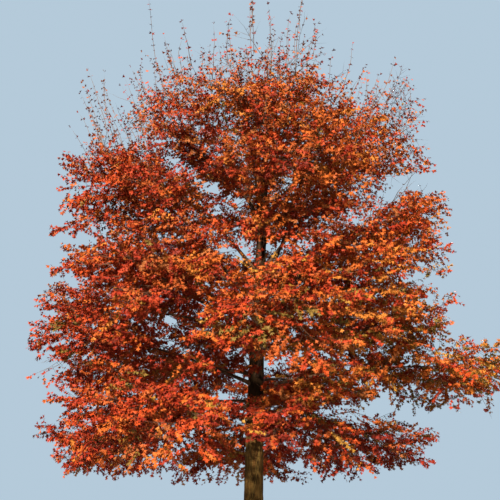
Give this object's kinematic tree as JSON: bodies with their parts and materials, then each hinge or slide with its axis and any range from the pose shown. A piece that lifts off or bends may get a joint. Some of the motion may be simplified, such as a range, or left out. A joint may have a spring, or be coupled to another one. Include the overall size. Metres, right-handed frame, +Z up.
{
  "type": "trident maple tree",
  "caption": "Mature trident maple in red and orange autumn leaf, rooted in the ground: tapering trunk, tiered boughs and a full rounded crown.",
  "frame": {"origin": "centre of the flat cut under the trunk, at ground level", "axes": "+Z up along the trunk, -Y towards the front view, +X to the right of it, where the long low bough reaches out"},
  "size_m": [8.7669, 6.9955, 10.4906],
  "materials": {
    "trunk_bark": "fissured grey-brown bark, lit ochre",
    "bough_bark": "smoother dark grey-brown bark",
    "skirt_leaves": "matt autumn leaves in red and orange",
    "low_leaves": "matt autumn leaves in red and orange",
    "middle_leaves": "matt autumn leaves in red and orange",
    "upper_leaves": "matt autumn leaves in red and orange",
    "high_leaves": "matt autumn leaves in red and orange",
    "top_leaves": "matt autumn leaves in red and orange",
    "leader_leaves": "matt autumn leaves in red and orange"
  },
  "bodies": {
    "root": {"trunk": "trunk_bark", "high_bough_1": "bough_bark", "high_bough_2": "bough_bark", "high_bough_3": "bough_bark", "high_bough_4": "bough_bark", "low_bough_1": "bough_bark", "low_bough_2": "bough_bark", "low_bough_3": "bough_bark", "low_bough_4": "bough_bark", "low_bough_5": "bough_bark", "middle_bough_1": "bough_bark", "middle_bough_2": "bough_bark", "middle_bough_3": "bough_bark", "middle_bough_4": "bough_bark", "middle_bough_5": "bough_bark", "skirt_bough_1": "bough_bark", "skirt_bough_2": "bough_bark", "skirt_bough_3": "bough_bark", "skirt_bough_4": "bough_bark", "skirt_bough_5": "bough_bark", "top_bough_1": "bough_bark", "top_bough_2": "bough_bark", "top_bough_3": "bough_bark", "top_bough_4": "bough_bark", "upper_bough_1": "bough_bark", "upper_bough_2": "bough_bark", "upper_bough_3": "bough_bark", "upper_bough_4": "bough_bark", "upper_bough_5": "bough_bark", "high_foliage_1": "high_leaves", "high_foliage_2": "high_leaves", "high_foliage_3": "high_leaves", "high_foliage_4": "high_leaves", "leader_foliage": "leader_leaves", "low_foliage_1": "low_leaves", "low_foliage_2": "low_leaves", "low_foliage_3": "low_leaves", "low_foliage_4": "low_leaves", "low_foliage_5": "low_leaves", "middle_foliage_1": "middle_leaves", "middle_foliage_2": "middle_leaves", "middle_foliage_3": "middle_leaves", "middle_foliage_4": "middle_leaves", "middle_foliage_5": "middle_leaves", "skirt_foliage_1": "skirt_leaves", "skirt_foliage_2": "skirt_leaves", "skirt_foliage_3": "skirt_leaves", "skirt_foliage_4": "skirt_leaves", "skirt_foliage_5": "skirt_leaves", "top_foliage_1": "top_leaves", "top_foliage_2": "top_leaves", "top_foliage_3": "top_leaves", "top_foliage_4": "top_leaves", "upper_foliage_1": "upper_leaves", "upper_foliage_2": "upper_leaves", "upper_foliage_3": "upper_leaves", "upper_foliage_4": "upper_leaves", "upper_foliage_5": "upper_leaves"}
  },
  "joints": []
}
